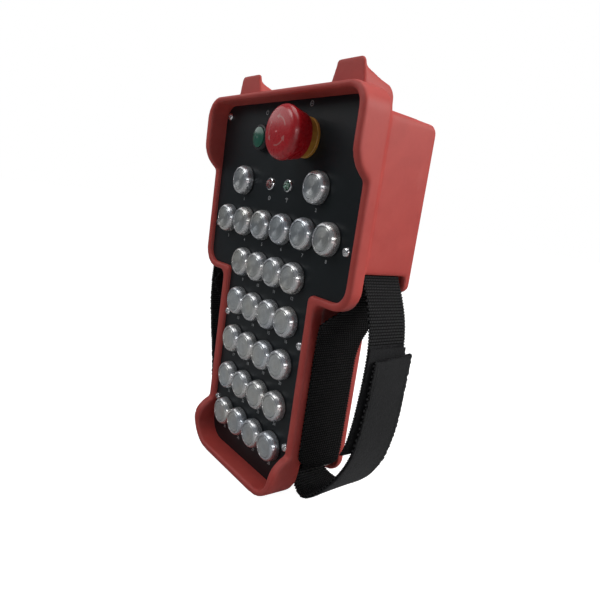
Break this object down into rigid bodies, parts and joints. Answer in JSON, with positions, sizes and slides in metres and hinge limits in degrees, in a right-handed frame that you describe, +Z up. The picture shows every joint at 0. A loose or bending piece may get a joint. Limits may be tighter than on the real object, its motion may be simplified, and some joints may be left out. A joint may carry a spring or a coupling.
{
  "type": "pendant control station",
  "caption": "Hand-held push-button control station with a T-shaped moulded housing, raised guards, an emergency stop, numbered metal buttons and a webbing hand strap on each side.",
  "frame": {"origin": "middle of the housing's bottom edge, in the plane of the seat of the face plate's front surface", "axes": "+Z up along the housing's height, +X to the right seen from the front, +Y from the button face into the body"},
  "size_m": [0.2134, 0.0761, 0.2999],
  "materials": {
    "red_moulding": "soft-touch matte, fine moulded grain",
    "black_plate": "satin black, printed numbers",
    "black_rubber": "matte",
    "bright_steel": "bright, turned",
    "polished_metal": "polished",
    "satin_metal": "satin, turned",
    "plated_steel": "zinc plated",
    "black_plastic": "fine moulded texture",
    "stop_red": "gloss",
    "stop_amber": "satin",
    "power_green": "gloss",
    "lens_red": "gloss",
    "lens_green": "gloss",
    "circuit_board": "solder mask",
    "brass_standoff": "turned",
    "tinned_can": "tinned",
    "cell_wrap": "shrink wrap",
    "webbing": "woven"
  },
  "bodies": {
    "station": {"housing": "red_moulding", "face_plate": "black_plate", "face_gasket": "black_rubber", "face_screws": "bright_steel", "button_bezels": "polished_metal", "button_seals": "black_rubber", "button_nuts": "plated_steel", "switch_bodies": "black_plastic", "estop_collar": "stop_amber", "estop_nut": "black_plastic", "estop_block": "black_plastic", "power_bezel": "black_plastic", "power_switch": "black_plastic", "led_bezels": "polished_metal", "led_red": "lens_red", "led_green": "lens_green", "control_board": "circuit_board", "board_standoffs": "brass_standoff", "radio_module": "tinned_can", "antenna": "black_rubber", "battery_holder": "black_plastic", "battery_cells": "cell_wrap", "battery_door": "black_plastic", "door_seal": "black_rubber", "door_screws": "bright_steel", "strap_right": "webbing", "strap_left": "webbing", "strap_bars": "plated_steel"},
    "stop_slide": {"estop_plunger": "plated_steel"},
    "stop_head": {"estop_head": "stop_red"},
    "power_button": {"power_button": "power_green"},
    "button_01": {"button_01": "satin_metal"},
    "button_02": {"button_02": "satin_metal"},
    "button_03": {"button_03": "satin_metal"},
    "button_04": {"button_04": "satin_metal"},
    "button_05": {"button_05": "satin_metal"},
    "button_06": {"button_06": "satin_metal"},
    "button_07": {"button_07": "satin_metal"},
    "button_08": {"button_08": "satin_metal"},
    "button_09": {"button_09": "satin_metal"},
    "button_10": {"button_10": "satin_metal"},
    "button_11": {"button_11": "satin_metal"},
    "button_12": {"button_12": "satin_metal"},
    "button_13": {"button_13": "satin_metal"},
    "button_14": {"button_14": "satin_metal"},
    "button_15": {"button_15": "satin_metal"},
    "button_16": {"button_16": "satin_metal"},
    "button_17": {"button_17": "satin_metal"},
    "button_18": {"button_18": "satin_metal"},
    "button_19": {"button_19": "satin_metal"},
    "button_20": {"button_20": "satin_metal"},
    "button_21": {"button_21": "satin_metal"},
    "button_22": {"button_22": "satin_metal"},
    "button_23": {"button_23": "satin_metal"},
    "button_24": {"button_24": "satin_metal"},
    "button_25": {"button_25": "satin_metal"},
    "button_26": {"button_26": "satin_metal"},
    "button_27": {"button_27": "satin_metal"},
    "button_28": {"button_28": "satin_metal"}
  },
  "joints": [
    {"name": "estop_push", "type": "slide", "parent": "station", "child": "stop_slide", "axis": [0, 1, 0], "range_m": [0, 0.0045]},
    {"name": "estop_twist", "type": "hinge", "parent": "stop_slide", "child": "stop_head", "pos_m": [0.0254, 0, 0.252], "axis": [0, 1, 0], "range_deg": [0, 45]},
    {"name": "power_press", "type": "slide", "parent": "station", "child": "power_button", "axis": [0, 1, 0], "range_m": [0, 0.0015]},
    {"name": "button_01_press", "type": "slide", "parent": "station", "child": "button_01", "axis": [0, 1, 0], "range_m": [0, 0.0015]},
    {"name": "button_02_press", "type": "slide", "parent": "station", "child": "button_02", "axis": [0, 1, 0], "range_m": [0, 0.0015]},
    {"name": "button_03_press", "type": "slide", "parent": "station", "child": "button_03", "axis": [0, 1, 0], "range_m": [0, 0.0015]},
    {"name": "button_04_press", "type": "slide", "parent": "station", "child": "button_04", "axis": [0, 1, 0], "range_m": [0, 0.0015]},
    {"name": "button_05_press", "type": "slide", "parent": "station", "child": "button_05", "axis": [0, 1, 0], "range_m": [0, 0.0015]},
    {"name": "button_06_press", "type": "slide", "parent": "station", "child": "button_06", "axis": [0, 1, 0], "range_m": [0, 0.0015]},
    {"name": "button_07_press", "type": "slide", "parent": "station", "child": "button_07", "axis": [0, 1, 0], "range_m": [0, 0.0015]},
    {"name": "button_08_press", "type": "slide", "parent": "station", "child": "button_08", "axis": [0, 1, 0], "range_m": [0, 0.0015]},
    {"name": "button_09_press", "type": "slide", "parent": "station", "child": "button_09", "axis": [0, 1, 0], "range_m": [0, 0.0015]},
    {"name": "button_10_press", "type": "slide", "parent": "station", "child": "button_10", "axis": [0, 1, 0], "range_m": [0, 0.0015]},
    {"name": "button_11_press", "type": "slide", "parent": "station", "child": "button_11", "axis": [0, 1, 0], "range_m": [0, 0.0015]},
    {"name": "button_12_press", "type": "slide", "parent": "station", "child": "button_12", "axis": [0, 1, 0], "range_m": [0, 0.0015]},
    {"name": "button_13_press", "type": "slide", "parent": "station", "child": "button_13", "axis": [0, 1, 0], "range_m": [0, 0.0015]},
    {"name": "button_14_press", "type": "slide", "parent": "station", "child": "button_14", "axis": [0, 1, 0], "range_m": [0, 0.0015]},
    {"name": "button_15_press", "type": "slide", "parent": "station", "child": "button_15", "axis": [0, 1, 0], "range_m": [0, 0.0015]},
    {"name": "button_16_press", "type": "slide", "parent": "station", "child": "button_16", "axis": [0, 1, 0], "range_m": [0, 0.0015]},
    {"name": "button_17_press", "type": "slide", "parent": "station", "child": "button_17", "axis": [0, 1, 0], "range_m": [0, 0.0015]},
    {"name": "button_18_press", "type": "slide", "parent": "station", "child": "button_18", "axis": [0, 1, 0], "range_m": [0, 0.0015]},
    {"name": "button_19_press", "type": "slide", "parent": "station", "child": "button_19", "axis": [0, 1, 0], "range_m": [0, 0.0015]},
    {"name": "button_20_press", "type": "slide", "parent": "station", "child": "button_20", "axis": [0, 1, 0], "range_m": [0, 0.0015]},
    {"name": "button_21_press", "type": "slide", "parent": "station", "child": "button_21", "axis": [0, 1, 0], "range_m": [0, 0.0015]},
    {"name": "button_22_press", "type": "slide", "parent": "station", "child": "button_22", "axis": [0, 1, 0], "range_m": [0, 0.0015]},
    {"name": "button_23_press", "type": "slide", "parent": "station", "child": "button_23", "axis": [0, 1, 0], "range_m": [0, 0.0015]},
    {"name": "button_24_press", "type": "slide", "parent": "station", "child": "button_24", "axis": [0, 1, 0], "range_m": [0, 0.0015]},
    {"name": "button_25_press", "type": "slide", "parent": "station", "child": "button_25", "axis": [0, 1, 0], "range_m": [0, 0.0015]},
    {"name": "button_26_press", "type": "slide", "parent": "station", "child": "button_26", "axis": [0, 1, 0], "range_m": [0, 0.0015]},
    {"name": "button_27_press", "type": "slide", "parent": "station", "child": "button_27", "axis": [0, 1, 0], "range_m": [0, 0.0015]},
    {"name": "button_28_press", "type": "slide", "parent": "station", "child": "button_28", "axis": [0, 1, 0], "range_m": [0, 0.0015]}
  ]
}
